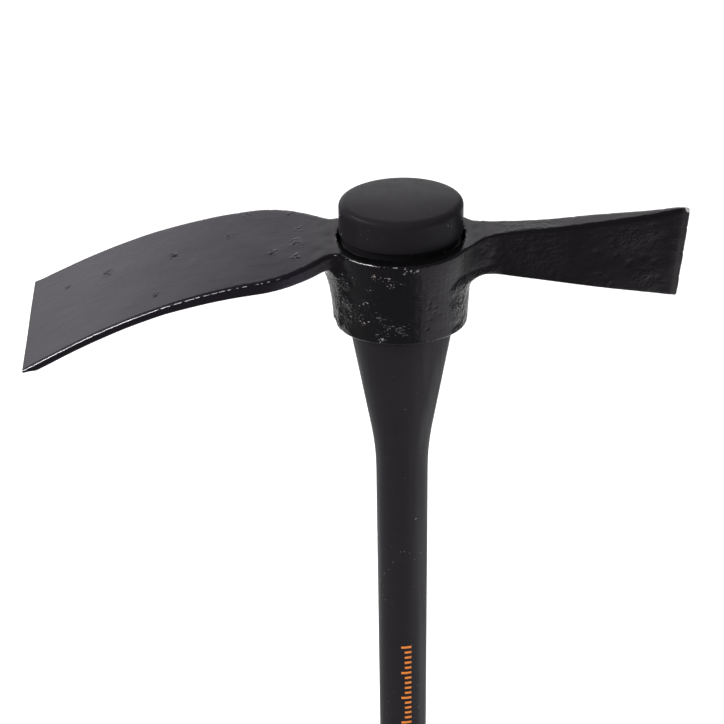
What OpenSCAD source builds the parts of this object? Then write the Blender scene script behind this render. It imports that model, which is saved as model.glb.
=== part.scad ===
// Cutter mattock: a forged head with an adze and a cutter blade, slipped over the flared end of a
// composite handle. The handle stands along +Z with its butt face on the origin, the adze points to
// -X and the cutter to +X. Sizes are in millimetres.

/* [Handle] */
// Length from the butt face to the top of the cap
overall_length = 900; // [700:5:1000]
// Width of the shaft at the foot of the flare
shaft_width = 33.4; // [30:0.2:38]
// Depth of the shaft, front to back, at the foot of the flare
shaft_depth = 27; // [24:0.2:32]
// Width of the shaft at its butt end
shaft_butt_width = 31.6; // [28:0.2:36]
// Length of the flare below the eye
flare_length = 118; // [95:1:150]
// Length of the curve that starts the flare
flare_foot_length = 36; // [20:1:60]
// Width of the tapered seat at the eye's bottom edge
seat_width = 64.4; // [60:0.2:68]
// Depth of the tapered seat at the eye's bottom edge
seat_depth = 42.6; // [39:0.2:46]

/* [Cap] */
// Width of the cap
cap_width = 74; // [70:0.2:78]
// Depth of the cap, front to back
cap_depth = 52.4; // [49:0.2:56]
// Height of the cap above the rim of the eye
cap_rise = 25; // [12:1:36]
// Depth of the cap's lower edge below the rim of the eye
cap_skirt = 8; // [4:1:16]
// Rounding of the cap's top edge
cap_round = 4; // [2:0.5:8]
// Width of the plug under the cap
plug_width = 44; // [36:1:50]
// Depth of the plug, front to back
plug_depth = 26; // [22:1:30]
// Length of the plug under the cap
plug_length = 14; // [8:1:20]
// Clearance round the plug in its socket
plug_clearance = 0.2; // [0.1:0.05:0.4]

/* [Core] */
// Diameter of the fibreglass rod inside the jacket
core_diameter = 16; // [12:0.5:18]

/* [Grip] */
// Length of the soft grip
grip_length = 250; // [150:5:320]
// Wall of the soft grip
grip_wall = 3; // [2.4:0.1:4]
// Radius of each groove round the grip
groove_radius = 1.3; // [0.8:0.1:1.6]
// Distance from groove to groove
groove_pitch = 9; // [6:0.5:14]
// Smooth length at each end of the grip
grip_margin = 20; // [12:1:40]
// Rounding of the grip's upper lip
grip_lip = 2; // [1:0.25:2.25]

/* [Butt] */
// Height of the butt knob
butt_height = 34; // [24:1:50]
// Thickness of the butt knob's floor under the shaft
butt_floor = 8; // [5:0.5:14]
// Swell of the butt knob past the grip, on each side
butt_swell = 3; // [1:0.25:4]
// Rounding of the butt knob's lower edge
butt_round = 6; // [3:0.5:8]

/* [Eye] */
// Height of the eye
eye_height = 64; // [54:0.5:72]
// Clearance between the seat and the eye's bottom edge
seat_clearance = 0.3; // [0.2:0.05:0.6]
// Gap between the cap and the rim of the eye
cap_gap = 1.2; // [0.6:0.1:2.4]
// Wall of the eye at its rim, on the blade sides
rim_end_wall = 5; // [4:0.25:9]
// Wall of the eye at its rim, front and back
rim_side_wall = 6.5; // [5:0.25:10]
// Wall of the eye at its bottom edge, on the blade sides
foot_end_wall = 7.5; // [5:0.25:10]
// Wall of the eye at its bottom edge, front and back
foot_side_wall = 5; // [4:0.25:8]
// Bevel on the eye's outer edges
eye_bevel = 1.8; // [0.8:0.1:2.6]

/* [Adze] */
// Distance from the handle's axis to the adze's cutting edge
adze_reach = 227; // [200:1:260]
// Drop of the cutting edge below the rim of the eye
adze_drop = 58.8; // [40:0.2:70]
// Distance from the axis to the middle of the adze's bend
adze_bend_reach = 141; // [120:1:155]
// Drop of the adze's upper face at the bend
adze_bend_drop = 11.8; // [8:0.2:20]
// Half the length of the bend
adze_bend_half = 61; // [20:1:66]
// Width of the cutting edge
adze_edge_width = 90.6; // [70:0.2:110]
// Width of the adze at its shoulder
adze_shoulder_width = 75.5; // [60:0.5:84]
// Width of the adze at its neck
adze_neck_width = 38.2; // [30:0.2:44]
// Distance from the axis to the shoulder
adze_shoulder_reach = 68; // [64:0.5:80]
// Half the length of the curve at the shoulder
adze_shoulder_curve = 19.5; // [8:0.5:20]
// Half the length of the curve at the neck
adze_neck_curve = 5.2; // [3:0.2:8]
// Thickness of the adze at its neck
adze_neck_thickness = 10.4; // [9:0.2:14]
// Thickness of the adze at its bend
adze_bend_thickness = 5.8; // [5:0.2:9]
// Thickness of the adze where its cutting bevel starts
adze_bevel_thickness = 5.2; // [3:0.2:6]
// Length of the adze's cutting bevel
adze_bevel_length = 8; // [6:0.5:18]
// Length of the fillet under the adze's neck, along the blade
adze_fillet_length = 14; // [8:0.5:18]
// Height of the fillet under the adze's neck, down the collar
adze_fillet_height = 48; // [16:1:50]

/* [Cutter] */
// Distance from the handle's axis to the cutter's edge
cutter_reach = 169; // [140:1:200]
// Rise of the cutter's edge above the rim of the eye
cutter_rise = 13.4; // [4:0.2:20]
// Rise of the cutter's root above the rim of the eye
cutter_root_rise = 1.8; // [0:0.2:4]
// Height of the cutter's edge
cutter_edge_height = 64; // [50:1:76]
// Depth of the cutter's root below the rim of the eye
cutter_root_depth = 25.6; // [20:0.2:30]
// Thickness of the cutter at its root
cutter_thickness = 13; // [10:0.5:16]
// Distance from the axis at which the cutter starts to thin
cutter_thin_reach = 60; // [55:1:80]
// Thickness of the cutter where its cutting bevel starts
cutter_bevel_thickness = 2.6; // [2:0.1:4]
// Length of the cutter's cutting bevel
cutter_bevel_length = 5; // [3:0.5:10]
// Distance that the top of the cutter's edge stands ahead of its bottom
cutter_lean = 3.6; // [0:0.2:8]
// Radius of the fillet under the cutter's root
cutter_fillet = 8.5; // [5:0.5:14]
// Angle round the rim at which the cutter's side fillets start
cutter_root_angle = 33; // [28:1:40]

/* [Blades] */
// Thickness left on both cutting edges
edge_land = 1.4; // [0.6:0.1:1.8]
// Bevel on the long edges of both blades
edge_break = 1.2; // [0.4:0.1:2]

/* [Hidden] */

// How finely ovals, bends and roundings are divided
OVAL_SIDES = 72;
FLARE_STEPS = 14;
ROUND_STEPS = 6;
BLADE_STEP = 4;
FILLET_STEP = 1;
UNDERSIDE_STEPS = 6;
ROUND_FN = 64;
// Length that a cut runs past the face it opens
OVERCUT = 1;
// Exponent of the cutter's convex cheeks
CHEEK_POWER = 1.6;
// Most of a blade's half thickness that an edge's bevel takes
EDGE_SHARE = 2 / 3;

forged_black = [0.13, 0.13, 0.14];
moulded_black = [0.10, 0.10, 0.11];
soft_black = [0.07, 0.07, 0.08];
glass_fibre = [0.85, 0.80, 0.62];

// Heights along the handle
rim_z = overall_length - cap_rise;
eye_foot_z = rim_z - eye_height;
flare_z = eye_foot_z - flare_length;
cap_base_z = rim_z - cap_skirt;
plug_foot_z = cap_base_z - plug_length;
grip_z = butt_height;
grip_top_z = grip_z + grip_length;

// Half sizes of the handle's sections, as [half width, half depth]
shaft_half = [shaft_width, shaft_depth] / 2;
oval_ratio = shaft_depth / shaft_width;
butt_end_half = [1, oval_ratio] * shaft_butt_width / 2;
seat_half = [seat_width, seat_depth] / 2;
cap_half = [cap_width, cap_depth] / 2;
plug_half = [plug_width, plug_depth] / 2;

// Half sizes of the eye and of the collar round it
eye_foot_half = seat_half + [1, 1] * seat_clearance;
eye_rim_half = cap_half + [1, 1] * cap_gap;
collar_foot_half = eye_foot_half + [foot_end_wall, foot_side_wall];
collar_rim_half = eye_rim_half + [rim_end_wall, rim_side_wall];
collar_mid_half = (collar_foot_half + collar_rim_half) / 2;

// Slopes and stations of the adze, by distance from the axis
adze_neck_reach = collar_rim_half.x;
adze_root_slope = adze_bend_drop / (adze_bend_reach - adze_neck_reach);
adze_blade_slope = (adze_drop - adze_bend_drop) / (adze_reach - adze_bend_reach);
adze_bevel_reach = adze_reach - adze_bevel_length;
adze_neck_spread = (adze_shoulder_width - adze_neck_width) / 2 / (adze_shoulder_reach - adze_neck_reach);
adze_blade_spread = (adze_edge_width - adze_shoulder_width) / 2 / (adze_reach - adze_shoulder_reach);
adze_root_reach = eye_rim_half.x - OVERCUT;
adze_fillet_reach = collar_mid_half.x + adze_fillet_length;
adze_fillet_room = eye_height - adze_neck_thickness - eye_bevel;
adze_fillet = [adze_fillet_length, min(adze_fillet_height, adze_fillet_room)];

// Side fillet of the cutter: an arc that leaves the rim's oval and ends along the blade's cheek
cutter_turn = [cos(cutter_root_angle), sin(cutter_root_angle)];
cutter_root = [collar_rim_half.x * cutter_turn.x, collar_rim_half.y * cutter_turn.y];
cutter_normal = unit([cutter_turn.x / collar_rim_half.x, cutter_turn.y / collar_rim_half.y]);
cutter_side_fillet = (cutter_root.y - cutter_thickness / 2) / (1 - cutter_normal.y);
cutter_side_reach = cutter_root.x + cutter_normal.x * cutter_side_fillet;
cutter_bevel_reach = cutter_reach - cutter_bevel_length;
cutter_fillet_reach = collar_mid_half.x + cutter_fillet;
cutter_root_reach = eye_rim_half.x - OVERCUT;
cutter_edge_drop = cutter_edge_height - cutter_rise;

function unit(v) = v / norm(v);
function middle(points) = [for (i = [0:len(points) - 1]) 1] * points / len(points);
function blend(a, b, share) = a + (b - a) * share;
function clamp(value, low, high) = min(max(value, low), high);

// A line that starts at zero, with its corner rounded over a length of twice half_length
function ramp(t, half_length) =
    t <= -half_length ? 0 : t >= half_length ? t : (t + half_length) ^ 2 / (4 * half_length);

// Height of a fillet of the given length and height, at a distance before it ends
function fillet_at(distance, size) =
    size.y * (1 - sqrt(1 - clamp(distance / size.x, 0, 1) ^ 2));

// Share of the flare's growth, rising as a parabola along its foot and straight above it
function flare_share(height) =
    let (foot = flare_foot_length)
    let (grown = height < foot ? height ^ 2 / (2 * foot) : height - foot / 2)
    grown / (flare_length - foot / 2);

// Half width and half depth of the handle at a height
function handle_half(z) =
    z <= flare_z ? blend(butt_end_half, shaft_half, (z - butt_floor) / (flare_z - butt_floor)) :
    z <= eye_foot_z ? blend(shaft_half, seat_half, flare_share(z - flare_z)) :
    z <= rim_z ? blend(seat_half, cap_half, (z - eye_foot_z) / eye_height) : cap_half;

function oval_ring(half, z) = [
    for (i = [0:OVAL_SIDES - 1])
        let (angle = 360 * i / OVAL_SIDES)
        [half.x * cos(angle), half.y * sin(angle), z]
];

// Outline of a blade's section in [y, z]: a slab with bevelled edges, whose underside sinks near the
// collar in a fillet that follows the collar's oval
function slab_outline(reach, half, low, high, bevel, fillet) =
    let (flat = half - bevel, side_low = low - sink_at(reach, half, fillet) + bevel)
    concat(
        [for (i = [-UNDERSIDE_STEPS:UNDERSIDE_STEPS])
            let (y = flat * i / UNDERSIDE_STEPS)
            [y, low - sink_at(reach, y, fillet)]],
        [[half, side_low], [half, high - bevel], [flat, high]],
        [[-flat, high], [-half, high - bevel], [-half, side_low]]
    );

// Depth of the fillet under a blade, between the blade's underside and the collar
function sink_at(reach, y, fillet) =
    let (wall = collar_mid_half.x * sqrt(max(1 - (y / collar_mid_half.y) ^ 2, 0)))
    fillet_at(wall + fillet.x - reach, fillet);

// Distances from the axis at which a blade is sectioned: the listed ones, and others between them that are
// closer up to the end of the fillet
function stations(marks, fillet_reach) = [
    for (i = [0:len(marks) - 2])
        let (step = marks[i] < fillet_reach ? FILLET_STEP : BLADE_STEP)
        let (span = marks[i + 1] - marks[i], count = ceil(span / step))
        for (k = [0:count - 1]) marks[i] + span * k / count,
    marks[len(marks) - 1]
];

// Closed skin through a list of rings, each turning anticlockwise as seen from the last ring
module skin(rings) {
    size = len(rings[0]);
    last = len(rings) - 1;
    sides = [
        for (i = [0:last - 1], j = [0:size - 1])
            let (a = i * size + j, b = i * size + (j + 1) % size)
            each [[a, a + size, b + size], [a, b + size, b]]
    ];
    foot = (last + 1) * size;
    top = foot + 1;
    ends = [
        for (j = [0:size - 1])
            let (k = (j + 1) % size)
            each [[foot, j, k], [top, last * size + k, last * size + j]]
    ];
    points = [for (ring = rings) each ring, middle(rings[0]), middle(rings[last])];
    polyhedron(points, concat(sides, ends), convexity = 4);
}

// Height of the adze's upper face
function adze_top(reach) =
    rim_z - adze_root_slope * ramp(reach - adze_neck_reach, adze_neck_curve)
    - (adze_blade_slope - adze_root_slope) * ramp(reach - adze_bend_reach, adze_bend_half);

function adze_thickness(reach) = lookup(reach, [
    [adze_neck_reach, adze_neck_thickness], [adze_bend_reach, adze_bend_thickness],
    [adze_bevel_reach, adze_bevel_thickness], [adze_reach, edge_land]
]);

function adze_half(reach) =
    adze_neck_width / 2 + adze_neck_spread * ramp(reach - adze_neck_reach, adze_neck_curve)
    + (adze_blade_spread - adze_neck_spread) * ramp(reach - adze_shoulder_reach, adze_shoulder_curve);

function adze_ring(reach) =
    let (top = adze_top(reach), thickness = adze_thickness(reach))
    let (bevel = min(edge_break, thickness / 2 * EDGE_SHARE))
    [for (p = slab_outline(reach, adze_half(reach), top - thickness, top, bevel, adze_fillet))
        [-reach, p.x, p.y]];

module adze_blade() {
    root = [adze_root_reach, adze_neck_reach, adze_fillet_reach];
    reaches = stations(concat(root, [adze_bend_reach, adze_bevel_reach, adze_reach]), adze_fillet_reach);
    skin([for (i = [len(reaches) - 1:-1:0]) adze_ring(reaches[i])]);
}

// Half thickness of the cutter: convex cheeks, a short cutting bevel and the fillet into the collar
function cutter_half(reach) =
    let (share = clamp((reach - cutter_thin_reach) / (cutter_bevel_reach - cutter_thin_reach), 0, 1))
    let (cheek = blend(cutter_thickness, cutter_bevel_thickness, share ^ CHEEK_POWER))
    let (bevel = clamp((reach - cutter_bevel_reach) / cutter_bevel_length, 0, 1))
    blend(cheek, edge_land, bevel) / 2
    + fillet_at(cutter_side_reach - reach, [1, 1] * cutter_side_fillet);

function cutter_ring(reach) =
    let (grown = max(reach - cutter_fillet_reach, 0) / (cutter_reach - cutter_fillet_reach))
    let (root = clamp((reach - collar_rim_half.x) / (cutter_fillet_reach - collar_rim_half.x), 0, 1))
    let (high = rim_z + blend(cutter_root_rise * root, cutter_rise, grown))
    let (low = rim_z - blend(cutter_root_depth, cutter_edge_drop, grown))
    let (half = cutter_half(reach), bevel = min(edge_break, half * EDGE_SHARE))
    let (centre_z = (low + high) / 2, lean = cutter_lean * grown / cutter_edge_height)
    [for (p = slab_outline(reach, half, low, high, bevel, [1, 1] * cutter_fillet))
        [reach + lean * (p.y - centre_z), p.x, p.y]];

module cutter_blade() {
    marks = [cutter_root_reach, collar_rim_half.x, cutter_side_reach, cutter_bevel_reach, cutter_reach];
    skin([for (reach = stations(marks, cutter_fillet_reach)) cutter_ring(reach)]);
}

// Outside of the eye, with bevelled upper and lower edges
module collar() {
    bevel = [1, 1] * eye_bevel;
    skin([
        oval_ring(collar_foot_half - bevel, eye_foot_z),
        oval_ring(collar_foot_half, eye_foot_z + eye_bevel),
        oval_ring(collar_rim_half, rim_z - eye_bevel),
        oval_ring(collar_rim_half - bevel, rim_z)
    ]);
}

// Tapered hole of the eye, run on past both ends at the same taper
module eye_hole() {
    taper = (eye_rim_half - eye_foot_half) / eye_height;
    skin([
        oval_ring(eye_foot_half - taper * OVERCUT, eye_foot_z - OVERCUT),
        oval_ring(eye_rim_half + taper * (cutter_rise + OVERCUT), rim_z + cutter_rise + OVERCUT)
    ]);
}

// One forging: the collar, both blades and the eye through it
module mattock_head() {
    color(forged_black) difference() {
        union() {
            collar();
            adze_blade();
            cutter_blade();
        }
        eye_hole();
    }
}

// Pultruded rod that carries the load from the butt to the eye
module core_rod() {
    color(glass_fibre) translate([0, 0, butt_floor])
        cylinder(d = core_diameter, h = plug_foot_z - butt_floor, $fn = ROUND_FN);
}

// Moulded jacket: the shaft, the flare and the tapered seat, with the rod's bore and the plug's socket
module shaft_jacket() {
    flare_rings = [for (i = [0:FLARE_STEPS]) flare_z + flare_length * i / FLARE_STEPS];
    socket_half = plug_half + [1, 1] * plug_clearance;
    color(moulded_black) difference() {
        skin([for (z = concat([butt_floor], flare_rings, [cap_base_z])) oval_ring(handle_half(z), z)]);
        translate([0, 0, butt_floor - OVERCUT])
            cylinder(d = core_diameter, h = plug_foot_z - butt_floor + 2 * OVERCUT, $fn = ROUND_FN);
        skin([oval_ring(socket_half, plug_foot_z), oval_ring(socket_half, cap_base_z + OVERCUT)]);
    }
}

// Cap that closes the jacket's upper end, with a plug in the jacket's socket
module top_cap() {
    rounding = [
        for (i = [0:ROUND_STEPS])
            let (angle = 90 * i / ROUND_STEPS, inset = cap_round * (1 - cos(angle)))
            oval_ring(cap_half - [1, 1] * inset, overall_length - cap_round * (1 - sin(angle)))
    ];
    lower = [oval_ring(handle_half(cap_base_z), cap_base_z), oval_ring(cap_half, rim_z)];
    color(moulded_black) union() {
        skin(concat(lower, rounding));
        skin([oval_ring(plug_half, plug_foot_z), oval_ring(plug_half, cap_base_z + OVERCUT)]);
    }
}

// Half width of the grip's outside at a height
function grip_half(z) = handle_half(z).x + grip_wall;

// Soft sleeve over the shaft, grooved for the hands
module grip_sleeve() {
    lip_z = grip_top_z - grip_lip;
    groove_count = floor((grip_length - 2 * grip_margin) / groove_pitch);
    first_groove_z = grip_z + (grip_length - groove_count * groove_pitch) / 2;
    color(soft_black) scale([1, oval_ratio, 1]) rotate_extrude($fn = ROUND_FN) difference() {
        polygon([
            [handle_half(grip_z).x, grip_z], [grip_half(grip_z), grip_z], [grip_half(lip_z), lip_z],
            [grip_half(grip_top_z) - grip_lip, grip_top_z], [handle_half(grip_top_z).x, grip_top_z]
        ]);
        for (i = [0:groove_count])
            let (z = first_groove_z + i * groove_pitch)
            translate([grip_half(z), z]) circle(r = groove_radius, $fn = ROUND_FN);
    }
}

// Swollen knob that closes the butt end and keeps the hand from slipping off
module butt_knob() {
    oval = [1, oval_ratio];
    knob_half = grip_half(butt_height) + butt_swell;
    rounding = [
        for (i = [0:ROUND_STEPS])
            let (angle = 90 * i / ROUND_STEPS, inset = butt_round * (1 - sin(angle)))
            oval_ring(oval * (knob_half - inset), butt_round * (1 - cos(angle)))
    ];
    outer_lip = oval_ring(oval * grip_half(butt_height), butt_height);
    pocket = [for (z = [butt_height, butt_floor]) oval_ring(handle_half(z), z)];
    color(soft_black) skin(concat(rounding, [outer_lip], pocket));
}

mattock_head();
core_rod();
shaft_jacket();
top_cap();
grip_sleeve();
butt_knob();
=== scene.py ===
"""Looks of a cutter mattock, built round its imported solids.

The head is meshed again from its solid and worked over like a forging: soft edges, dents, pits and
bruised lacquer. The handle's pieces are lofted again with closer rings. All lengths are in metres,
in the frame of the solids.
"""

import math

import bmesh
import bpy
import numpy as np
from mathutils import Matrix, Vector, kdtree, noise
from mathutils.bvhtree import BVHTree


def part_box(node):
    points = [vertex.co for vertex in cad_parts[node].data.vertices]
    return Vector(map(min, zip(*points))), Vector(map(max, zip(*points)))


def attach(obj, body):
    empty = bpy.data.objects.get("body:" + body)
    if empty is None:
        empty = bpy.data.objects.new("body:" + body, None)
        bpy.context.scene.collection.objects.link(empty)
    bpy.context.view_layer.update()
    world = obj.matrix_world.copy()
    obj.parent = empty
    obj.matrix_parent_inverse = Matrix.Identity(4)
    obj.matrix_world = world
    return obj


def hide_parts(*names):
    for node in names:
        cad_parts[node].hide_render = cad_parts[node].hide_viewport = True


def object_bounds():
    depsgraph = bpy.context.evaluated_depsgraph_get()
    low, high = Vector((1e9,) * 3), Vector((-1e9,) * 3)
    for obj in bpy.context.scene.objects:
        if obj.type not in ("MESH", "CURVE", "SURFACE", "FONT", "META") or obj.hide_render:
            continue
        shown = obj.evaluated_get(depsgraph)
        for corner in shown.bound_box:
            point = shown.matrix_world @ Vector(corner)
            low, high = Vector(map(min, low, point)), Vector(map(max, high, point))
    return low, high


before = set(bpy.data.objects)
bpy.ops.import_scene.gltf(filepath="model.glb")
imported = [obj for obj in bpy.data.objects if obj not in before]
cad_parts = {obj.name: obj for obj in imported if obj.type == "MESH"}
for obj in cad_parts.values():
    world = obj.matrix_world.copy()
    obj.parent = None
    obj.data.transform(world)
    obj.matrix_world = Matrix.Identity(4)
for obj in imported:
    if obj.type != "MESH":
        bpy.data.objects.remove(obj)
cad_low, cad_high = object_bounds()

MM = 0.001

# Heights of the eye, from the solids: the cap stands this far above the eye's rim
CAP_RISE = 25 * MM
rim_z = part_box("top_cap")[1].z - CAP_RISE
eye_foot_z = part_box("mattock_head")[0].z

# Camera: the photograph's view, aimed at a point just under the collar, left of the handle's axis
CAMERA_TARGET = Vector((-24.6 * MM, 0, 779.5 * MM))
CAMERA_DISTANCE = 1348.1 * MM
CAMERA_ELEVATION = math.radians(38.21)
CAMERA_AZIMUTH = math.radians(-1.203)
CAMERA_ROLL = math.radians(-1.055)
CAMERA_LENS = 107.9
SENSOR_WIDTH = 36

# Meshing of the head: its points are put on the solid's skin, or on a sharp edge that runs close by
HEAD_VOXEL = 1.0 * MM
WELD_DISTANCE = 0.001 * MM
HEAD_RELAX_PASSES = 3
SNAP_RELAX_SHARE = 0.5
SHARP_ANGLE = math.radians(25)
SHARP_SPACING = 0.25 * MM
SHARP_REACH = 0.5 * MM
# A line meets the points within this distance of it, or else the nearest ones, with some slack
LINE_REACH = 1.5 * HEAD_VOXEL
LINE_SLACK = 1.1
# Where the blades run into the collar, the creases are filled: rounds, passes in each round, the depth
# below the rim where the filling sets in, and the stretches along X
ROOT_ROUNDS = 10
ROOT_PASSES = 25
ROOT_DEPTH = (5 * MM, 12 * MM)
ADZE_ROOT = (-24 * MM, -32 * MM, -52 * MM, -62 * MM)
CUTTER_ROOT = (24 * MM, 32 * MM, 46 * MM, 56 * MM)
# The cutter's edge reaches a little further than the solid's
CUTTER_REACH = 0.8 * MM
CUTTER_REACH_START = (120 * MM, 172 * MM)
# It is straightened over the rows of heights that reach this share of the farthest X. The line is fitted
# to these rows less a few at each end, and points within a distance of the edge move with it.
BLADE_SHARE = 0.9
BLADE_END_ROWS = 2
EDGE_REACH = 3 * MM
# Its upper corner is rounded, and the lacquer is lost there
CORNER_ROUNDING = 3.5 * MM
CORNER_PASSES = 8
BARE_CORNER_RADIUS = 2.4 * MM
# The rim's chamfer is squared up over a zone below the upper outline, along a stretch of X
RIM_CHAMFER = 1.6 * MM
RIM_ZONE = 8 * MM
RIM_STRETCH = (-44 * MM, -36 * MM, 60 * MM, 76 * MM)
# The cutter is thickened on each side, up to the bevel at its edge
CUTTER_SWELL = 0.8 * MM
CUTTER_SWELL_STRETCH = (70 * MM, 125 * MM, 160 * MM, 171 * MM)
# Its top line sags a little, and what lies below it sags less
CUTTER_SAG = 1.2 * MM
CUTTER_SAG_DEPTH = 25 * MM
CUTTER_SAG_STRETCH = (62 * MM, 95 * MM, 140 * MM, 168 * MM)

# Lofts of the handle's pieces: distance between rings, and points in each ring
SHAFT_STEP = 3 * MM
CAP_STEP = 0.4 * MM
GRIP_STEP = 0.6 * MM
BUTT_STEP = 0.5 * MM
SHAFT_SIDES = 160
GRIP_SIDES = 96
# A groove in the eye's mouth parts the cap's foot from the seat: its stretch about the rim, and its depth
CAP_GROOVE = (-4.5 * MM, -3.5 * MM, 2 * MM, 3.6 * MM)
CAP_GROOVE_DEPTH = 3 * MM

# Points of the head past this multiple of the seat's half sizes are outside the eye. The seat is measured
# at a few heights from the eye's foot to its rim.
OUTSIDE_SHARE = 1.07
EYE_SECTIONS = 9
# The skin is fuller than the solid's, and its growth sets in between these multiples
HEAD_GROWTH = 0.25 * MM
GROWTH_START = (1.04, 1.14)

# Regions of the head: the blades by X, and upright walls and the cutter's cheeks by the normal's Z or Y
ADZE_START = (-46 * MM, -60 * MM)
CUTTER_START = (49 * MM, 62 * MM)
WALL_NORMAL_Z = (0.6, 0.3)
CHEEK_NORMAL_Y = (0.7, 0.9)
# Crackled ends of the collar: reach along X, how far it wavers, the scale and seed of the waver's noise,
# and depth below the rim under the adze and under the cutter
COLLAR_SIDE = (28 * MM, 38 * MM)
COLLAR_SIDE_WAVER = 5 * MM
WAVER_NOISE = (130, 3.1)
CRACKLE_DEPTH = ((8 * MM, 16 * MM), (18 * MM, 26 * MM))

# Marks of the forging, in millimetres. Pits on the adze are given as (x, y, radius of the bruise). Each is a
# shallow dent, with a lip raised beside it.
ADZE_PITS = [
    (-179, 16, 2.9), (-138, 10, 2.3), (-104, 16, 2.0), (-63, -1, 2.9), (-63, -15, 2.3), (-77, -8, 2.0),
    (-147, -25, 1.5), (-204, 21, 1.6), (-62, 12, 2.0), (-93, 33, 1.8), (-66, 30, 1.6),
]
PIT_RADIUS = 1.6 * MM
PIT_DEPTH = 0.07 * MM
PIT_LIP_OFFSET = (1.6 * MM, 0.9 * MM)
PIT_LIP_SHARE = 0.6
# Marks on the front are given as (x, depth below the rim), and are made on the back as well. Pebbled zones
# of the cutter, zones of small flecks and of short scratches, and single chips also give their radius.
PEBBLES = [(72, 6, 15), (78, 2, 15), (82, 12, 15), (136, 5, 9), (146, 2, 8), (149, 36, 8)]
# The fleck zones get pale specks that are partly chip marks, partly painted highlights of the collar's bumps
FLECKS = [
    (-30, 37, 7), (-24, 32, 6), (-27, 44, 7), (-33, 46, 6), (-24, 48, 5), (-31, 13, 4), (-21, 20, 3.5),
    (-18, 9, 5), (-11, 10, 6), (-8, 15, 4), (2, 3, 4), (8, 3.5, 5), (-14, 60, 5), (-9, 53, 6), (-16, 42, 5),
]
SCRATCHES = [(-14, 43, 8), (-8, 48, 9), (-2, 51, 9), (-13, 53, 8), (0, 14, 5), (-5, 11, 5)]
CHIPS = [
    (-9, 9.8, 1.6), (-13.4, 59.7, 2.0), (1.5, 5.8, 1.5), (9.3, 3.6, 2.0), (5.4, 2.8, 1.6), (-22.6, 31.1, 1.1),
    (-24.7, 47.7, 1.3), (-30.1, 36.1, 0.9), (-10.8, 14.4, 0.9), (-18.5, 9.2, 0.7), (-14.9, 8.8, 0.8),
    (1.1, 2, 1.3),
]
COLLAR_PITS = [(20.2, 35.5), (15.7, 35.6), (19.4, 40.2), (16.8, 31.1), (4.6, 24.5), (15.3, 51.8)]
COLLAR_PIT_RADIUS = 1.3 * MM
COLLAR_PIT_DEPTH = 0.4 * MM
# Ground bevel at the cutter's edge
BEVEL_WIDTH = (3.2 * MM, 4.6 * MM)
# Waves of the skin: scale and seed of the noise, and heights in millimetres. The rough ones have a height
# for the whole head, and more on the cutter and on the collar.
BROAD_NOISE = (40, 0)
BROAD_HEIGHT = 0.15
ROUGH_NOISE = (150, 7.3)
ROUGH_HEIGHTS = (0.03, 0.05, 0.05)
# Dents and lumps, drawn at random. A negative depth is a lump. The weights of the draw are for the plain
# wall, its flecks and its crackle, and for the plain cheek, where they end short of the edge.
LUMP_SEED = 11
COLLAR_LUMPS = 420
CUTTER_LUMPS = 420
LUMP_RADIUS = (1.5 * MM, 2.8 * MM)
LUMP_DEPTH = (-0.12 * MM, 0.22 * MM)
COLLAR_LUMP_WEIGHTS = (0.15, 0.5, 1.5)
CHEEK_LUMP_WEIGHT = 0.1
LUMPS_END = (164 * MM, 152 * MM)
# Coarse grain of the lacquer: shares on the collar, on the plain cutter and on its pebbled zones
COARSE_SHARES = (0.3, 0.16, 1.2)

# Printed scale on the shaft's front
SCALE_TOP = 540 * MM
SCALE_FOOT = 465 * MM
SCALE_PITCH = 5 * MM
SCALE_BAR = 2.0 * MM
SCALE_RIGHT = 5.4 * MM
SCALE_LONG = 7.0 * MM
SCALE_SHORT = 4.6 * MM
SCALE_LONG_EVERY = 5
SCALE_STEPS = 8
SCALE_PROUD = 0.12 * MM
SCALE_SUNK = 0.3 * MM

# Wear along the head's upper outline, as (x in millimetres, front wear, back wear)
EDGE_WEAR = [
    (-220, 1, 0.3), (-165, 0.9, 0.4), (-130, 0.78, 0.5), (-100, 0.74, 0.5), (-92, 0.7, 0.4), (-84, 0.45, 0.3),
    (-76, 0.35, 0.3), (-62, 0.2, 0.1), (-44, 0.1, 0.2), (-39, 0.8, 0.2), (-36, 0.2, 0.4), (-33, 0.6, 0.5),
    (-27, 0.85, 0.5), (-14, 0.85, 0.3), (-10, 0.62, 0.1), (-4, 0.32, 0.2), (8, 0.5, 0.3), (13, 0.3, 0.4),
    (18, 0, 0.5), (30, 0, 0.4), (150, 0, 0), (180, 0.4, 0.3),
]
# It shows in a strip just past the outline, which is found in steps along X from the points near the top
EDGE_STRIP = (0, 0.08 * MM, 0.32 * MM, 0.46 * MM)
OUTLINE_STEP = 1.5 * MM
OUTLINE_DEPTH = 3 * MM


def smoothstep(low, high, value):
    """0 before low and 1 past high, with a smooth step between them."""
    share = np.clip((value - low) / (high - low), 0, 1)
    return share * share * (3 - 2 * share)


def add_object(name, data):
    """A new object of the scene that shows a mesh, a lamp or a camera."""
    made = bpy.data.objects.new(name, data)
    bpy.context.scene.collection.objects.link(made)
    return made


def dress(piece, body, slot, material, *nodes):
    """Gives a piece its body and its finish, and hides the solids that it stands for. Its slot is not used.
    """
    piece.data.materials.clear()
    piece.data.materials.append(material)
    piece.data.shade_smooth()
    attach(piece, body)
    if nodes:
        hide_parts(*nodes)


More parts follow.
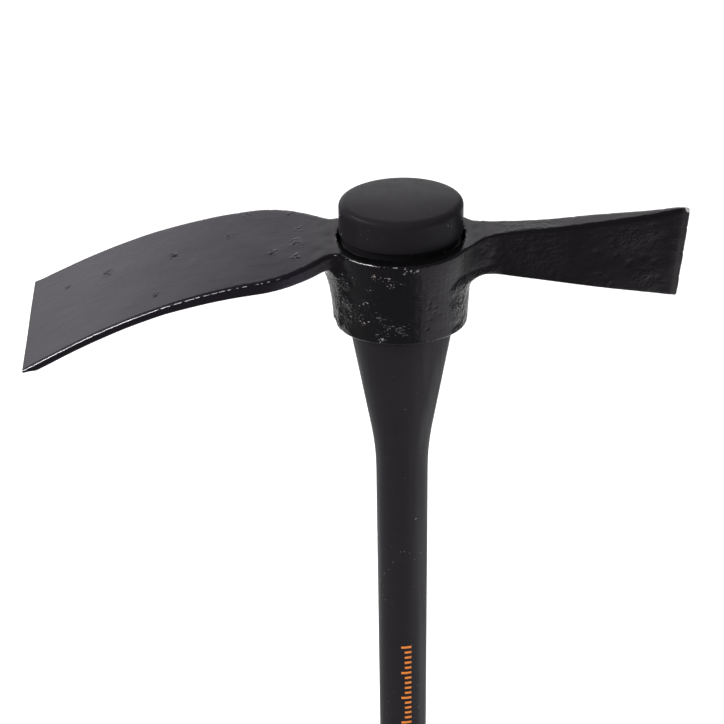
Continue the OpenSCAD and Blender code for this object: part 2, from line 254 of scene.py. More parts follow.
class Shader:
    """A material's node tree, with short calls for the nodes that the finishes share."""

    def __init__(self, name):
        self.material = bpy.data.materials.new(name)
        self.material.use_nodes = True
        self.tree = self.material.node_tree
        self.surface = self.tree.nodes["Principled BSDF"]
        self.place = self.node("ShaderNodeTexCoord").outputs["Object"]

    def node(self, kind, **settings):
        made = self.tree.nodes.new(kind)
        for key, value in settings.items():
            setattr(made, key, value)
        return made

    def feed(self, target, value):
        """Links an output to an input, or sets the input to a plain value."""
        if isinstance(value, bpy.types.NodeSocket):
            self.tree.links.new(value, target)
        else:
            target.default_value = value

    def set(self, **inputs):
        for key, value in inputs.items():
            self.feed(self.surface.inputs[key.replace("_", " ")], value)

    def noise(self, scale, detail, roughness=0.5, place=None):
        texture = self.node("ShaderNodeTexNoise")
        self.feed(texture.inputs["Vector"], place or self.place)
        texture.inputs["Scale"].default_value = scale
        texture.inputs["Detail"].default_value = detail
        texture.inputs["Roughness"].default_value = roughness
        return texture.outputs["Fac"]

    def drawn_noise(self, scales, detail, roughness=0.5):
        """Noise with its own scale along each axis."""
        mapping = self.node("ShaderNodeMapping")
        self.feed(mapping.inputs["Vector"], self.place)
        mapping.inputs["Scale"].default_value = scales
        return self.noise(1.0, detail, roughness, mapping.outputs["Vector"])

    def off_middle(self, pattern):
        """How far a noise is from its middle value, which it takes along winding lines."""
        return self.maths("ABSOLUTE", self.maths("SUBTRACT", pattern, 0.5))

    def attribute(self, name):
        return self.node("ShaderNodeAttribute", attribute_name=name).outputs["Fac"]

    def between(self, value, low, high, start=0.0, end=1.0):
        """A smooth step from start to end as the value goes from low to high."""
        step = self.node("ShaderNodeMapRange", interpolation_type="SMOOTHSTEP")
        self.feed(step.inputs["Value"], value)
        for key, number in (("From Min", low), ("From Max", high), ("To Min", start), ("To Max", end)):
            step.inputs[key].default_value = number
        return step.outputs["Result"]

    def window(self, value, start, full, last, end):
        """1 between full and last, and 0 before start and after end."""
        return self.maths("MULTIPLY", self.between(value, start, full), self.between(value, end, last))

    def broken(self, pattern, mask, share, low, high):
        """Spots of a pattern, the more of them the higher the mask."""
        return self.between(self.maths("ADD", pattern, self.maths("MULTIPLY", mask, share)), low, high)

    def maths(self, operation, a, b=0.0):
        made = self.node("ShaderNodeMath", operation=operation)
        self.feed(made.inputs[0], a)
        self.feed(made.inputs[1], b)
        return made.outputs["Value"]

    def mix(self, share, a, b):
        made = self.node("ShaderNodeMix", data_type="RGBA")
        self.feed(made.inputs["Factor"], share)
        self.feed(made.inputs["A"], a)
        self.feed(made.inputs["B"], b)
        return made.outputs["Result"]

    def bump(self, height, strength, distance, normal=None):
        made = self.node("ShaderNodeBump")
        made.inputs["Strength"].default_value = strength
        made.inputs["Distance"].default_value = distance
        self.feed(made.inputs["Height"], height)
        if normal is not None:
            self.feed(made.inputs["Normal"], normal)
        return made.outputs["Normal"]


def grey(level):
    return (level, level, level, 1)


def plastic_black(level):
    return (level, level * 0.91, level * 1.04, 1)


# Finish of the head: colours and tints of its gloss
TINTED_BLACK = ((0.0024, 0.0022, 0.0025, 1), (0.0044, 0.0041, 0.0046, 1))
COLLAR_TINT = (0.69, 0.60, 0.71, 1)
ADZE_TINT = (1, 0.79, 1.18, 1)
SCRATCH_COLOUR = (0.17, 0.17, 0.18, 1)
# Painted highlights: pale glint lines on the crackle's ridges, partly lacquer worn off them
PAINTED_GLINT_COLOUR = (0.25, 0.25, 0.26, 1)
# Colours of chip marks, also painted on pale specks that stand for highlights of the collar's bumps
CHIP_AND_HIGHLIGHT_COLOURS = ((0.22, 0.215, 0.225, 1), (0.52, 0.46, 0.39, 1))
GROUND_COLOUR = (0.019, 0.018, 0.018, 1)
BARE_STEEL = (0.40, 0.395, 0.39, 1)
# Its gloss, and its roughness: on the collar and cutter, on the adze, on bare steel, and as drawn lines
LACQUER_GLOSS = 0.1
COLLAR_ROUGHNESS = 0.16
ADZE_ROUGHNESS = 0.26
STEEL_ROUGHNESS = 0.5
DRAWN_ROUGHNESS = 0.14
# Its marks: the share of a zone's mask that is added to a pattern, and the sums where a mark starts and is
# full
# The fleck marks are partly painted highlights, and the glint marks are painted highlights
FLECK_STEP = (0.2, 0.805, 0.85)
SCRATCH_STEP = (0.2, 0.81, 0.87)
PAINTED_GLINT_STEP = (0.2, 0.7, 0.78)
WEAR_STEP = (0.5, 0.78, 0.86)
# Values where a chip, a winding ridge for the painted glint lines, an arc of a bruise, a bare corner and
# the second colour of chip marks and of painted highlight specks start and are full, and how strong a scratch
# is
CHIP_STEP = (0.33, 0.39)
RIDGE_STEP = (0.03, 0.01)
ARC_STEP = (0, 0.16)
BARE_STEP = (0.3, 0.5)
CHIP_AND_HIGHLIGHT_COLOUR_STEP = (0.56, 0.66)
SCRATCH_SHARE = 0.75

# Finishes of the handle. A cloud takes a level of black from one share of it to another, and most of a
# noise lies in MOST_NOISE.
PLASTIC_TINT = (1, 0.91, 1.06, 1)
DUST_COLOUR = (0.24, 0.225, 0.2, 1)
DUST_RISE = 0.03
DUSTY_CLOUDS = (0.45, 0.6)
PLASTIC_CLOUD = (0.85, 1.15)
FLOW_ROUGHNESS = 0.06
INK_COLOURS = ((0.88, 0.22, 0.024, 1), (0.95, 0.30, 0.045, 1))
INK_ROUGHNESS = (0.45, 0.6)
RUBBER_CLOUD = (0.8, 1.25)
RUBBER_ROUGHNESS = (0.68, 0.8)
FIBRE_COLOURS = ((0.55, 0.48, 0.28, 1), (0.82, 0.77, 0.58, 1))
FIBRE_ROUGHNESS = (0.35, 0.55)
MOST_NOISE = (0.3, 0.7)
SATIN_GLOSS = 0.3


def lacquered_steel():
    """Black lacquer over a forging, with chip marks on the collar and bare steel along worn edges.

    Pale specks on the collar are partly lacquer knocked off and partly painted highlights of its bumps, and
    pale lines on its crackled ends are painted highlights along their ridges, partly worn lacquer.
    """
    s = Shader("lacquered_steel")
    adze = s.attribute("adze")
    collar = s.attribute("collar")
    coarse = s.attribute("coarse")
    edge = s.attribute("edge")
    crackle = s.attribute("crackle")
    drawn = s.drawn_noise((26, 820, 26), 4)
    banded = s.drawn_noise((160, 160, 620), 3)
    pebbled = s.noise(420, 4, 0.62)
    patches = s.noise(55, 3)
    fine = s.noise(1700, 2)
    speckle = s.drawn_noise((480, 480, 700), 3, 0.6)
    dots = s.drawn_noise((820, 820, 900), 2)
    dashes = s.drawn_noise((300, 300, 1300), 2)
    streaks = s.drawn_noise((430, 430, 230), 3, 0.62)
    arcs = s.between(s.off_middle(s.noise(260, 1)), *ARC_STEP)
    ridges = s.between(s.off_middle(s.drawn_noise((330, 330, 210), 2)), *RIDGE_STEP)
    tints = s.noise(120, 1)
    gaps = s.drawn_noise((330, 500, 500), 2)

    # Pale specks: partly chip marks, partly painted highlights of the collar's bumps
    chip_and_highlight_flecks = s.broken(dots, s.attribute("fleck"), *FLECK_STEP)
    lost = s.between(s.maths("MULTIPLY", s.attribute("chip"), dots), *CHIP_STEP)
    scratches = s.maths("MULTIPLY", s.broken(dashes, s.attribute("scratch"), *SCRATCH_STEP), SCRATCH_SHARE)
    # Painted highlights: pale glint lines along the crackle's winding ridges
    painted_glints = s.maths("MULTIPLY", ridges, s.broken(speckle, crackle, *PAINTED_GLINT_STEP))
    worn_edge = s.maths(
        "MULTIPLY", s.window(edge, *EDGE_STRIP), s.broken(gaps, s.attribute("edge_wear"), *WEAR_STEP)
    )
    worn = s.maths("MAXIMUM", s.between(s.attribute("bare"), *BARE_STEP), worn_edge)

    black = s.mix(patches, *TINTED_BLACK)
    # The scratches, with the painted glint lines over them
    scratches_and_painted_glints = s.mix(painted_glints, s.mix(scratches, black, SCRATCH_COLOUR), PAINTED_GLINT_COLOUR)
    # The chip colours, for chip marks and for the specks painted as highlights
    chip_and_highlight_colour = s.mix(s.between(tints, *CHIP_AND_HIGHLIGHT_COLOUR_STEP), *CHIP_AND_HIGHLIGHT_COLOURS)
    chipped_and_highlighted = s.mix(s.maths("MAXIMUM", chip_and_highlight_flecks, lost), scratches_and_painted_glints, chip_and_highlight_colour)
    ground = s.mix(s.attribute("bevel"), chipped_and_highlighted, GROUND_COLOUR)
    normal = None
    for height, strength, distance in (
        (s.maths("MULTIPLY", pebbled, coarse), 0.9, 0.7 * MM),
        (s.maths("MULTIPLY", streaks, crackle), 1.0, 3.0 * MM),
        (s.maths("MULTIPLY", arcs, s.attribute("pit")), 1.0, 0.55 * MM),
        (s.maths("MULTIPLY", banded, collar), 0.3, 0.25 * MM),
        (s.maths("MULTIPLY", drawn, adze), 0.2, 0.12 * MM),
        (fine, 0.05, 0.05 * MM),
    ):
        normal = s.bump(height, strength, distance, normal)
    s.set(
        Base_Color=s.mix(worn, ground, BARE_STEEL),
        Metallic=worn,
        Roughness=s.maths(
            "ADD",
            s.maths(
                "MAXIMUM",
                s.between(adze, 0, 1, COLLAR_ROUGHNESS, ADZE_ROUGHNESS),
                s.between(worn, 0, 1, 0, STEEL_ROUGHNESS),
            ),
            s.maths("MULTIPLY", s.maths("SUBTRACT", drawn, 0.5), DRAWN_ROUGHNESS),
        ),
        Specular_IOR_Level=LACQUER_GLOSS,
        Specular_Tint=s.mix(adze, COLLAR_TINT, ADZE_TINT),
        Normal=normal,
    )
    return s.material


def moulded_plastic(name, level, gloss, roughness, dust_start):
    """Satin moulded plastic with a fine grain, faint lengthwise flow lines and a few specks of dust."""
    s = Shader(name)
    flow = s.drawn_noise((240, 240, 9), 3)
    cloud = s.noise(38, 3)
    grain = s.noise(2600, 2)
    specks = s.between(s.noise(620, 1), dust_start, dust_start + DUST_RISE)
    dust = s.maths("MULTIPLY", specks, s.between(cloud, *DUSTY_CLOUDS))
    clean = s.mix(cloud, *(plastic_black(level * share) for share in PLASTIC_CLOUD))
    s.set(
        Base_Color=s.mix(dust, clean, DUST_COLOUR),
        Roughness=s.between(flow, *MOST_NOISE, roughness - FLOW_ROUGHNESS, roughness + FLOW_ROUGHNESS),
        Specular_IOR_Level=gloss,
        Specular_Tint=PLASTIC_TINT,
        Normal=s.bump(grain, 0.12, 0.05 * MM, s.bump(flow, 0.05, 0.1 * MM)),
    )
    return s.material


def printing_ink():
    """Orange ink, a little uneven, with the plastic's grain under it."""
    s = Shader("orange_ink")
    s.set(
        Base_Color=s.mix(s.noise(700, 3), *INK_COLOURS),
        Roughness=s.between(s.noise(300, 2), *MOST_NOISE, *INK_ROUGHNESS),
        Specular_IOR_Level=SATIN_GLOSS,
        Normal=s.bump(s.noise(2600, 2), 0.1, 0.05 * MM),
    )
    return s.material


def rubber(name, level):
    """Matte black rubber with a fine grain."""
    s = Shader(name)
    grain = s.noise(1900, 3)
    cloud = s.noise(60, 3)
    s.set(
        Base_Color=s.mix(cloud, *(grey(level * share) for share in RUBBER_CLOUD)),
        Roughness=s.between(cloud, *MOST_NOISE, *RUBBER_ROUGHNESS),
        Specular_IOR_Level=SATIN_GLOSS,
        Normal=s.bump(grain, 0.25, 0.08 * MM),
    )
    return s.material


def glass_fibre():
    """Pultruded rod: pale resin with fibres along its length."""
    s = Shader("glass_fibre")
    fibres = s.drawn_noise((1800, 1800, 12), 4)
    s.set(
        Base_Color=s.mix(fibres, *FIBRE_COLOURS),
        Roughness=s.between(fibres, *MOST_NOISE, *FIBRE_ROUGHNESS),
        Normal=s.bump(fibres, 0.2, 0.1 * MM),
    )
    return s.material


class Surface:
    """A mesh's points and edges as arrays, for working the surface point by point."""

    def __init__(self, mesh):
        self.mesh = mesh
        count = len(mesh.vertices)
        self.points = np.empty(count * 3)
        mesh.vertices.foreach_get("co", self.points)
        self.points = self.points.reshape(-1, 3)
        edges = np.empty(len(mesh.edges) * 2, np.int64)
        mesh.edges.foreach_get("vertices", edges)
        self.edges = edges.reshape(-1, 2)
        self.edge_counts = np.bincount(self.edges.ravel(), minlength=count)[:, None]

    def around(self, values):
        """Mean of each point's neighbours."""
        here, there = np.concatenate([self.edges, self.edges[:, ::-1]]).T
        sums = [np.bincount(here, column[there], len(values)) for column in values.T]
        return np.stack(sums, 1) / self.edge_counts

    def relax(self, passes, share=1.0):
        """Moves each point towards the mean of its neighbours, by half of the way times a share."""
        for _ in range(passes):
            self.points += (self.around(self.points) - self.points) * (share / 2)

    def fill(self, rounds, passes, share):
        """Relaxes the surface in rounds, but keeps only the moves outward, which fill creases."""
        for _ in range(rounds):
            start = self.points.copy()
            normals = self.normals()
            self.relax(passes, share[:, None])
            rise = ((self.points - start) * normals).sum(1, keepdims=True)
            self.points = start + normals * np.maximum(rise, 0)

    def normals(self):
        """The normals of the surface as it is now."""
        self.store()
        found = np.empty(len(self.points) * 3)
        self.mesh.vertex_normals.foreach_get("vector", found)
        return found.reshape(-1, 3)

    def snap(self, skin, ridges):
        """Puts each point on the nearest point of a skin, or of a sharp edge that runs close by."""
        for index, point in enumerate(self.points.tolist()):
            ridge, _, distance = ridges.find(point)
            self.points[index] = ridge if distance < SHARP_REACH else skin.find_nearest(point)[0]

    def outermost(self, place, direction):
        """The last point of the surface on the line through a place, along a direction."""
        away = self.points - place
        along = away @ direction
        beside = np.linalg.norm(away - along[:, None] * direction, axis=1)
        near = np.flatnonzero(beside < max(LINE_REACH, LINE_SLACK * beside.min()))
        return self.points[near[along[near].argmax()]]

    def upper_outline(self):
        """The top height and the half depth of the surface in the column of X at each point."""
        x, y, z = self.points.T
        column = ((x - x.min()) / OUTLINE_STEP).astype(int)
        top = np.full(column.max() + 1, -np.inf)
        np.maximum.at(top, column, z)
        half = np.zeros(len(top))
        high = z > top[column] - OUTLINE_DEPTH
        np.maximum.at(half, column[high], np.abs(y[high]))
        middles = x.min() + (np.arange(len(top)) + 0.5) * OUTLINE_STEP
        return np.interp(x, middles, top), np.interp(x, middles, half)

    def past_outline(self):
        """Distance past the upper outline: negative across the top, and positive down the sides."""
        top, half = self.upper_outline()
        return top - self.points[:, 2] - half + np.abs(self.points[:, 1])

    def square_rim(self, share):
        """Lifts the sides just below the upper outline, until their chamfer is part of the top."""
        depth = self.upper_outline()[0] - self.points[:, 2]
        lifted = np.maximum(depth - RIM_CHAMFER, 0) * RIM_ZONE / (RIM_ZONE - RIM_CHAMFER)
        self.points[:, 2] += share * np.maximum(depth - lifted, 0)

    def cutting_edge(self):
        """The middles of rows of heights, and the farthest X in each row."""
        x, _, z = self.points.T
        row = ((z - z.min()) / OUTLINE_STEP).astype(int)
        last = np.full(row.max() + 1, -np.inf)
        np.maximum.at(last, row, x)
        return z.min() + (np.arange(len(last)) + 0.5) * OUTLINE_STEP, last

    def short_of_cutting_edge(self):
        """Distance along X from each point to the cutter's edge at the same height."""
        return np.interp(self.points[:, 2], *self.cutting_edge()) - self.points[:, 0]

    def straighten_cutting_edge(self):
        """Moves the points at the cutter's edge onto one straight line."""
        rows, last = self.cutting_edge()
        blade = last > BLADE_SHARE * last.max()
        inner = slice(BLADE_END_ROWS, -BLADE_END_ROWS)
        line = np.polyval(np.polyfit(rows[blade][inner], last[blade][inner], 1), rows)
        shift = np.where(blade, line - last, 0)
        near = smoothstep(EDGE_REACH, 0, self.short_of_cutting_edge())
        self.points[:, 0] += np.interp(self.points[:, 2], rows, shift) * near

    def noise(self, scale, seed):
        """Smooth noise from -1 to 1 at the points, with features of about 1 / scale."""
        return np.array([noise.noise(p) for p in (self.points * scale + seed).tolist()])

    def store(self):
        self.mesh.vertices.foreach_set("co", self.points.ravel())
        self.mesh.update()

    def strike(self, tree, normals, centre, radius, depth):
        """Dents the surface round a point, or raises a lump where the depth is negative."""
        for _, index, distance in tree.find_range(centre.tolist(), 2 * radius):
            self.points[index] -= normals[index] * depth * math.exp(-2 * (distance / radius) ** 2)

    def gathering(self, places, radii):
        """How near each point is to any of the places, from 0 to 1."""
        share = np.zeros(len(self.points))
        for place, radius in zip(places, np.broadcast_to(radii, len(places))):
            square = ((self.points - place) ** 2).sum(1)
            share = np.maximum(share, np.exp(-square / radius ** 2))
        return share

    def paint(self, name, values):
        layer = self.mesh.attributes.new(name, "FLOAT", "POINT")
        layer.data.foreach_set("value", np.asarray(values, np.float32).ravel())


def point_tree(points):
    tree = kdtree.KDTree(len(points))
    for index, point in enumerate(points):
        tree.insert(point, index)
    tree.balance()
    return tree


def ridge_points(work):
    """Points along a solid's sharp edges."""
    points = []
    for edge in work.edges:
        if edge.is_manifold and edge.calc_face_angle() > SHARP_ANGLE:
            start, end = (vert.co for vert in edge.verts)
            steps = max(round((end - start).length / SHARP_SPACING), 1)
            points.extend(start.lerp(end, step / steps) for step in range(steps + 1))
    return points


def even_surface(node, voxel):
    """A closed, evenly meshed copy of a solid, with its points on the solid's own skin."""
    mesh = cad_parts[node].data.copy()
    work = bmesh.new()
    work.from_mesh(mesh)
    bmesh.ops.remove_doubles(work, verts=work.verts, dist=WELD_DISTANCE)
    work.to_mesh(mesh)
    skin = BVHTree.FromBMesh(work)
    ridges = point_tree(ridge_points(work))
    work.free()
    scratch = add_object("scratch", mesh)
    remesh = scratch.modifiers.new("even", "REMESH")
    remesh.mode = "VOXEL"
    remesh.voxel_size = voxel
    seen = scratch.evaluated_get(bpy.context.evaluated_depsgraph_get())
    surface = Surface(bpy.data.meshes.new_from_object(seen))
    bpy.data.objects.remove(scratch)
    surface.relax(HEAD_RELAX_PASSES)
    surface.snap(skin, ridges)
    surface.relax(1, SNAP_RELAX_SHARE)
    return surface


def window(value, start, full, last, end):
    """1 between full and last, and 0 before start and after end."""
    return smoothstep(start, full, value) * smoothstep(end, last, value)


def reshaped_head():
    """The head's surface with its roots filled, its rim squared and its cutter drawn to shape.

    It comes with each point's reach from the handle's axis, as a multiple of the seat's half sizes.
    """
    surface = even_surface("mattock_head", HEAD_VOXEL)
    x, y, z = surface.points.T.copy()
    sections = np.linspace(eye_foot_z, rim_z, EYE_SECTIONS)
    seat_x, seat_y = (np.interp(z, sections, half) for half in half_sizes("shaft_jacket", sections).T)
    reach = np.hypot(x / seat_x, y / seat_y)
    outside = reach > OUTSIDE_SHARE
    roots = outside * (window(x, *ADZE_ROOT) + window(x, *CUTTER_ROOT))
    surface.fill(ROOT_ROUNDS, ROOT_PASSES, roots * smoothstep(*ROOT_DEPTH, rim_z - z))
    surface.square_rim(outside * window(x, *RIM_STRETCH))
    surface.points[:, 1] += np.sign(y) * CUTTER_SWELL * window(x, *CUTTER_SWELL_STRETCH)
    near_top = smoothstep(CUTTER_SAG_DEPTH, 0, surface.upper_outline()[0] - z)
    surface.points[:, 2] -= CUTTER_SAG * near_top * window(x, *CUTTER_SAG_STRETCH)
    surface.straighten_cutting_edge()
    corner = surface.points[(x + z).argmax()]
    surface.relax(CORNER_PASSES, surface.gathering([corner], CORNER_ROUNDING)[:, None])
    surface.points[:, 0] += CUTTER_REACH * smoothstep(*CUTTER_REACH_START, x)
    return surface, reach


def forged_head():
    """The reshaped head with zones painted on it for its finish, and then waves, pits, dents and lumps."""
    surface, reach = reshaped_head()
    outside = reach > OUTSIDE_SHARE
    normals = surface.normals()
    x, y, z = surface.points.T.copy()
    adze = smoothstep(*ADZE_START, x)
    cutter = smoothstep(*CUTTER_START, x)
    collar = (1 - adze - cutter) * outside
    wall = collar * smoothstep(*WALL_NORMAL_Z, np.abs(normals[:, 2]))
    cheek = cutter * smoothstep(*CHEEK_NORMAL_Y, np.abs(normals[:, 1])) * smoothstep(*LUMPS_END, x)
    sides = [np.array((0.0, side, 0.0)) for side in (-1, 1)]

    def on_sides(marks):
        """Points of the front and the back, for marks that start with x and depth below the rim."""
        middles = [np.array((mark[0] * MM, 0, rim_z - mark[1] * MM)) for mark in marks]
        return [surface.outermost(middle, side) for middle in middles for side in sides]

    def zones(marks):
        """How near each point is to marks of the front and the back that give their own radius."""
        return surface.gathering(on_sides(marks), [mark[2] * MM for mark in marks for _ in sides])

    up = np.array((0.0, 0.0, 1.0))
    pits = [surface.outermost(np.array((px * MM, py * MM, rim_z)), up) for px, py, _ in ADZE_PITS]
    lips = surface.gathering(np.add(pits, (*PIT_LIP_OFFSET, 0)), PIT_RADIUS)
    pitted = surface.gathering(pits, PIT_RADIUS) - PIT_LIP_SHARE * lips
    # Fleck zones: more lumps, and pale specks that are partly painted highlights
    fleck = zones(FLECKS) * wall
    lumpy = zones(PEBBLES) * cutter
    # The crackled ends get coarser bumps, more lumps and painted glint lines along their ridges
    crackle_start = np.where(x < 0, *(smoothstep(*depth, rim_z - z) for depth in CRACKLE_DEPTH))
    crackle_reach = np.abs(x) + surface.noise(*WAVER_NOISE) * COLLAR_SIDE_WAVER
    crackled = wall * smoothstep(*COLLAR_SIDE, crackle_reach) * crackle_start
    marks, front, back = np.array(EDGE_WEAR).T
    edge_wear = np.where(y < 0, np.interp(x, marks * MM, front), np.interp(x, marks * MM, back))
    on_collar, on_cutter, on_pebbles = COARSE_SHARES
    coarse = on_collar * (wall + crackled + fleck) + (on_cutter + on_pebbles * lumpy) * cutter

    surface.paint("adze", adze)
    surface.paint("collar", wall)
    surface.paint("coarse", np.clip(coarse, 0, 1))
    surface.paint("crackle", crackled)
    surface.paint("pit", surface.gathering(pits, [pit[2] * MM for pit in ADZE_PITS]))
    surface.paint("fleck", fleck)
    surface.paint("scratch", zones(SCRATCHES) * wall)
    surface.paint("chip", zones(CHIPS))
    surface.paint("bevel", smoothstep(*BEVEL_WIDTH[::-1], surface.short_of_cutting_edge()))
    corner = surface.points[(x + z).argmax()]
    surface.paint("bare", surface.gathering([corner], BARE_CORNER_RADIUS))
    surface.paint("edge", surface.past_outline())
    surface.paint("edge_wear", edge_wear)

    grown = HEAD_GROWTH * smoothstep(*GROWTH_START, reach)
    broad = surface.noise(*BROAD_NOISE) * BROAD_HEIGHT * MM
    on_head, on_cutter, on_collar = ROUGH_HEIGHTS
    rough = surface.noise(*ROUGH_NOISE) * (on_head + on_cutter * cutter + on_collar * collar) * MM
    surface.points += normals * (grown + broad + rough - pitted * PIT_DEPTH)[:, None]
    tree = point_tree(surface.points.tolist())
    draw = np.random.default_rng(LUMP_SEED)
    for place in on_sides(COLLAR_PITS):
        surface.strike(tree, normals, place, COLLAR_PIT_RADIUS, COLLAR_PIT_DEPTH)
    plain, on_flecks, on_crackle = COLLAR_LUMP_WEIGHTS
    for weight, count in (
        (wall * (plain + on_flecks * fleck + on_crackle * crackled), COLLAR_LUMPS),
        (cheek * (CHEEK_LUMP_WEIGHT + lumpy), CUTTER_LUMPS),
    ):
        chosen = draw.choice(len(x), count, p=weight / weight.sum())
        sizes = zip(draw.uniform(*LUMP_RADIUS, count), draw.uniform(*LUMP_DEPTH, count))
        for index, (radius, depth) in zip(chosen, sizes):
            surface.strike(tree, normals, surface.points[index], radius, depth)
    surface.store()
    return add_object("forged_head", surface.mesh)


def edge_ends(node):
    """The two end points of each of a solid's edges."""
    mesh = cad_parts[node].data
    points = np.array([v.co for v in mesh.vertices])
    return points[np.array([e.vertices[:] for e in mesh.edges])]


def half_sizes(node, heights):
    """Half width and half depth of a solid's outside at each height, from the edges that cross it."""
    ends = edge_ends(node)
    ends = ends[np.abs(ends[:, 0, 2] - ends[:, 1, 2]) > WELD_DISTANCE]
    low, high = ends[:, :, 2].min(1), ends[:, :, 2].max(1)
    found = []
    for height in np.clip(heights, low.min() + WELD_DISTANCE, high.max() - WELD_DISTANCE):
        crossing = ends[(low <= height) & (high >= height)]
        share = (height - crossing[:, 0, 2]) / (crossing[:, 1, 2] - crossing[:, 0, 2])
        place = crossing[:, 0] + (crossing[:, 1] - crossing[:, 0]) * share[:, None]
        found.append(np.abs(place[:, :2]).max(0))
    return np.array(found)


def oval_rings(halves, heights, sides):
    """Rings of points, one at each height."""
    turn = np.arange(sides) * 2 * math.pi / sides
    circle = np.stack([np.cos(turn), np.sin(turn)], 1)
    flat = halves[:, None, :] * circle[None]
    return np.concatenate([flat, np.broadcast_to(heights[:, None, None], (*flat.shape[:2], 1))], 2)


def loft(name, rings):
    """A closed skin of quads through rings, ended by fans."""
    count, sides = rings.shape[:2]
    points = np.concatenate([rings.reshape(-1, 3), rings[[0, -1]].mean(1)])
    faces = []
    for i in range(count - 1):
        for j in range(sides):
            k = (j + 1) % sides
            faces.append((i * sides + j, i * sides + k, (i + 1) * sides + k, (i + 1) * sides + j))
    last = (count - 1) * sides
    for j in range(sides):
        k = (j + 1) % sides
        faces.append((count * sides, k, j))
        faces.append((count * sides + 1, last + j, last + k))
    mesh = bpy.data.meshes.new(name)
    mesh.from_pydata(points.tolist(), [], faces)
    mesh.update()
    return add_object(name, mesh)


def lofted(name, node, step, sides, groove=0.0):
    """A loft over a solid's whole height, with a groove of a given depth round it at the eye's mouth."""
    low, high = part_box(node)
    count = round((high.z - low.z) / step)
    heights = np.linspace(low.z, high.z, count + 1)
    cut = groove * window(heights - rim_z, *CAP_GROOVE)
    return loft(name, oval_rings(half_sizes(node, heights) - cut[:, None], heights, sides))


def depth_scale():
    """A printed scale on the shaft's front: thin curved bars, each a closed slab sunk into the plastic."""
    points, faces = [], []
    count = round((SCALE_TOP - SCALE_FOOT) / SCALE_PITCH)
    for bar in range(count + 1):
        middle = SCALE_TOP - bar * SCALE_PITCH
        length = SCALE_LONG if bar % SCALE_LONG_EVERY == 0 else SCALE_SHORT
        across = SCALE_RIGHT - np.linspace(length, 0, SCALE_STEPS + 1)
        first = len(points)
        for height in (middle - SCALE_BAR / 2, middle + SCALE_BAR / 2):
            half_x, half_y = half_sizes("shaft_jacket", [height])[0]
            for lift in (-SCALE_SUNK, SCALE_PROUD):
                y = -(half_y + lift) * np.sqrt(1 - (across / (half_x + lift)) ** 2)
                points.extend(zip(across, y, np.full(len(across), height)))
        size = SCALE_STEPS + 1
        low_in, low_out, high_in, high_out = (first + size * row for row in range(4))
        for i in range(SCALE_STEPS):
            for a, b in ((low_out, high_out), (high_out, high_in), (high_in, low_in), (low_in, low_out)):
                faces.append((a + i, a + i + 1, b + i + 1, b + i))
        for i, order in ((0, 1), (SCALE_STEPS, -1)):
            faces.append((low_out + i, high_out + i, high_in + i, low_in + i)[::order])
    mesh = bpy.data.meshes.new("depth_scale")
    mesh.from_pydata(points, [], faces)
    mesh.update()
    return add_object("depth_scale", mesh)


def softbox(name, place, target, size, radiance, spread=180):
    """A soft lamp of even brightness, aimed at a point.

    A spread below 180 degrees stands for a grid in front of it.
    """
    width, height = size
    data = bpy.data.lights.new(name, "AREA")
    data.shape = "RECTANGLE"
    data.size = width
    data.size_y = height
    data.energy = radiance * math.pi * width * height
    data.spread = math.radians(spread)
    lamp = add_object(name, data)
    lamp.location = place
    lamp.rotation_euler = (Vector(target) - Vector(place)).to_track_quat("-Z", "Y").to_euler()
    lamp.visible_camera = False


def seen_directly(tree):
    """1 for rays from the camera, or from a reflection or a clear material, and otherwise 0."""
    path = tree.nodes.new("ShaderNodeLightPath")
    total = path.outputs["Is Camera Ray"]
    for kind in ("Is Glossy Ray", "Is Transmission Ray"):
        either = tree.nodes.new("ShaderNodeMath")
        either.operation = "MAXIMUM"
        tree.links.new(total, either.inputs[0])
        tree.links.new(path.outputs[kind], either.inputs[1])
        total = either.outputs["Value"]
    return total


FLOOR_RADIUS = 9.0
FLOOR_SIDES = 96
FLOOR_LEVEL = 0.74
FLOOR_ROUGHNESS = 0.9
FLOOR_GLOSS = 0.1
# The floor runs into white behind the object, along Y, and far away from it
WHITE_BEHIND = (0.05, 0.45)
WHITE_FAR = (0.5, 1.35)
FLOOR_GLOW = 0.65
WORLD_FILL = 0.5


def studio_floor():
    """A plain pale floor that runs into white behind the object and far away from it."""
    mesh = bpy.data.meshes.new("floor")
    work = bmesh.new()
    bmesh.ops.create_circle(work, cap_ends=True, radius=FLOOR_RADIUS, segments=FLOOR_SIDES)
    work.to_mesh(mesh)
    work.free()
    floor = add_object("floor", mesh)
    floor.location.z = cad_low.z
    s = Shader("pale_floor")
    s.set(Base_Color=grey(FLOOR_LEVEL), Roughness=FLOOR_ROUGHNESS, Specular_IOR_Level=FLOOR_GLOSS)
    parts = s.node("ShaderNodeSeparateXYZ")
    s.feed(parts.inputs["Vector"], s.place)
    away = s.node("ShaderNodeVectorMath", operation="LENGTH")
    s.feed(away.inputs[0], s.place)
    behind = s.between(parts.outputs["Y"], *WHITE_BEHIND)
    white = s.maths("MAXIMUM", behind, s.between(away.outputs["Value"], *WHITE_FAR))
    s.set(
        Emission_Color=grey(1.0),
        Emission_Strength=s.maths("MULTIPLY", s.maths("MULTIPLY", white, FLOOR_GLOW), seen_directly(s.tree)),
    )
    mesh.materials.append(s.material)


def studio_world():
    """White where it is seen, also in reflections, and a dimmer fill light otherwise."""
    world = bpy.data.worlds.new("studio")
    world.use_nodes = True
    bpy.context.scene.world = world
    tree = world.node_tree
    background = tree.nodes["Background"]
    background.inputs["Color"].default_value = grey(1.0)
    level = tree.nodes.new("ShaderNodeMapRange")
    level.inputs["To Min"].default_value = WORLD_FILL
    level.inputs["To Max"].default_value = 1.0
    tree.links.new(seen_directly(tree), level.inputs["Value"])
    tree.links.new(level.outputs["Result"], background.inputs["Strength"])


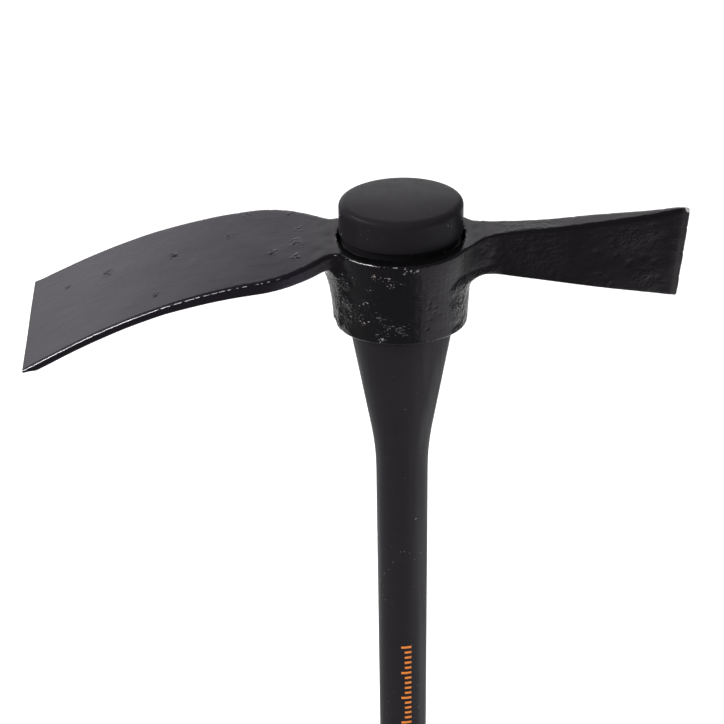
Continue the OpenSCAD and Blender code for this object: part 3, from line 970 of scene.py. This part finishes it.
def studio_lamps():
    """Softboxes behind the object and on its left, and reflectors that face up from just above the floor."""
    softbox("back_softbox", place=(-0.65, 1.75, 1.67), target=(-0.65, 0, 1.67),
            size=(2.9, 1.04), radiance=3.0)
    softbox("end_softbox", place=(-1.75, 1.75, 1.35), target=(-1.75, 0, 1.35),
            size=(1.0, 0.6), radiance=1.3)
    softbox("top_softbox", place=(0.1, 1.75, 2.72), target=(0.1, 0, 2.72),
            size=(0.5, 1.06), radiance=2.9)
    softbox("left_softbox", place=(-1.08, -0.42, 1.8), target=(0, 0, 0.75),
            size=(1.2, 0.6), radiance=2.3, spread=75)
    softbox("right_reflector", place=(0.67, -0.38, 0.03), target=(0.67, -0.38, 1),
            size=(0.7, 1.15), radiance=2.1)
    softbox("left_reflector", place=(-1.0, 0.45, 0.03), target=(-1.0, 0.45, 1),
            size=(1.0, 0.6), radiance=0.9)


def photograph_camera():
    """The camera that sees the object as the photograph does."""
    data = bpy.data.cameras.new("camera")
    data.lens = CAMERA_LENS
    data.sensor_width = SENSOR_WIDTH
    camera = add_object("camera", data)
    level = math.cos(CAMERA_ELEVATION)
    back = Vector((
        math.sin(CAMERA_AZIMUTH) * level,
        -math.cos(CAMERA_AZIMUTH) * level,
        math.sin(CAMERA_ELEVATION),
    ))
    camera.location = CAMERA_TARGET + back * CAMERA_DISTANCE
    turn = (-back).to_track_quat("-Z", "Y") @ Matrix.Rotation(CAMERA_ROLL, 3, "Z").to_quaternion()
    camera.rotation_mode = "QUATERNION"
    camera.rotation_quaternion = turn
    bpy.context.scene.camera = camera


photograph_camera()
dress(forged_head(), "head", "forged_steel", lacquered_steel(), "mattock_head")
shaft_finish = moulded_plastic("shaft_plastic", level=0.016, gloss=0.07, roughness=0.5, dust_start=0.755)
shaft = lofted("moulded_shaft", "shaft_jacket", SHAFT_STEP, SHAFT_SIDES)
dress(shaft, "handle", "moulded_plastic", shaft_finish, "shaft_jacket")
dress(depth_scale(), "handle", "moulded_plastic", printing_ink())
cap_finish = moulded_plastic("cap_plastic", level=0.013, gloss=0.042, roughness=0.34, dust_start=0.74)
cap = lofted("handle_cap", "top_cap", CAP_STEP, SHAFT_SIDES, CAP_GROOVE_DEPTH)
dress(cap, "handle", "cap_plastic", cap_finish, "top_cap")
grip = lofted("grooved_grip", "grip_sleeve", GRIP_STEP, GRIP_SIDES)
dress(grip, "handle", "grip_rubber", rubber("grip_rubber", level=0.014), "grip_sleeve")
butt = lofted("butt_end", "butt_knob", BUTT_STEP, GRIP_SIDES)
dress(butt, "handle", "butt_rubber", rubber("butt_rubber", level=0.016), "butt_knob")
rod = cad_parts["core_rod"]
rod.data.materials.clear()
rod.data.materials.append(glass_fibre())

studio_floor()
studio_world()
studio_lamps()
bpy.context.scene.view_settings.view_transform = "Standard"
